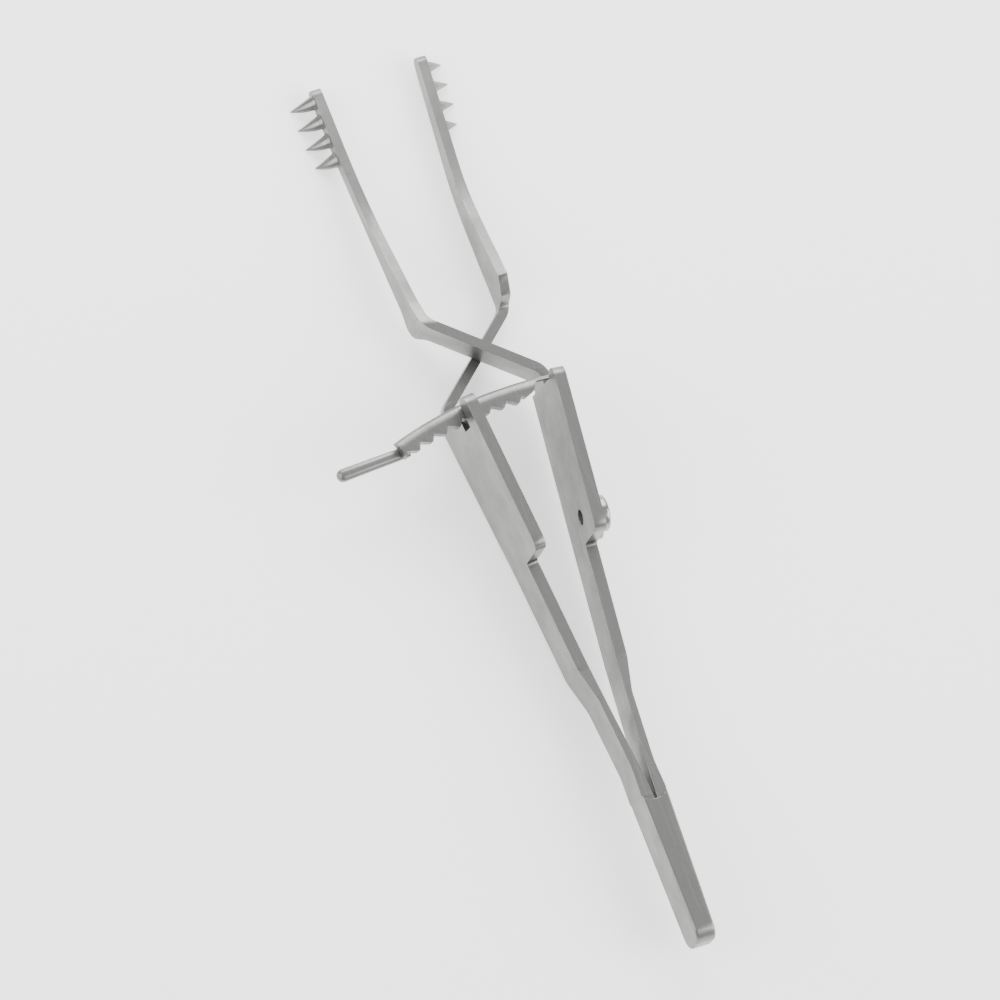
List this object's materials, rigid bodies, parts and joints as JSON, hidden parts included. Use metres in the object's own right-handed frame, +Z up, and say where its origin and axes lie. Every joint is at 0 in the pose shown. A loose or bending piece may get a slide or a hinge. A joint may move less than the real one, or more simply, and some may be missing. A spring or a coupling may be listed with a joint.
{
  "type": "self retaining retractor",
  "caption": "Steel spring-handled surgical retractor with crossing arms, clawed rakes and a toothed ratchet bar that holds the spread.",
  "frame": {"origin": "centre of the flat underside of the butt, in the middle plane between the two handle leaves", "axes": "+X across the instrument to the plate that carries the screw, +Y from the butt to the claws, +Z up through the depth of the handles, away from the claw tips"},
  "size_m": [0.0321, 0.1093, 0.0126],
  "materials": {
    "satin_steel": "satin, bead blasted stainless steel",
    "ground_steel": "ground stainless steel, finer and brighter than the handles",
    "screw_steel": "turned stainless steel, polished"
  },
  "bodies": {
    "butt": {"butt_block": "satin_steel"},
    "left_limb": {"left_leaf_spring": "satin_steel", "left_grip_plate": "satin_steel", "lower_cross_bar": "satin_steel", "right_rake_arm": "satin_steel", "right_rake_claw_1": "ground_steel", "right_rake_claw_2": "ground_steel", "right_rake_claw_3": "ground_steel", "right_rake_claw_4": "ground_steel"},
    "right_limb": {"right_leaf_spring": "satin_steel", "right_grip_plate": "satin_steel", "upper_cross_bar": "satin_steel", "left_rake_arm": "satin_steel", "left_rake_claw_1": "ground_steel", "left_rake_claw_2": "ground_steel", "left_rake_claw_3": "ground_steel", "left_rake_claw_4": "ground_steel", "ratchet_spring": "satin_steel", "ratchet_screw": "screw_steel"},
    "ratchet": {"ratchet_bar": "satin_steel", "thumb_tab": "satin_steel"}
  },
  "joints": [
    {"name": "left_limb_squeeze", "type": "hinge", "parent": "butt", "child": "left_limb", "pos_m": [0, 0.01075, 0.0026], "axis": [0, 0, -1], "range_deg": [-3.54, 3.54], "stiffness_Nm_per_rad": 0.05},
    {"name": "right_limb_squeeze", "type": "hinge", "parent": "butt", "child": "right_limb", "pos_m": [0, 0.01075, 0.0026], "axis": [0, 0, 1], "range_deg": [-3.54, 3.54], "stiffness_Nm_per_rad": 0.05},
    {"name": "ratchet_release", "type": "hinge", "parent": "right_limb", "child": "ratchet", "pos_m": [0.00584, 0.05911, 0.00635], "axis": [0, 0, -1], "range_deg": [-1.5, 6], "stiffness_Nm_per_rad": 0.005}
  ],
  "couplings": [
    {"joint": "right_limb_squeeze", "follows": "left_limb_squeeze", "ratio": 1}
  ]
}
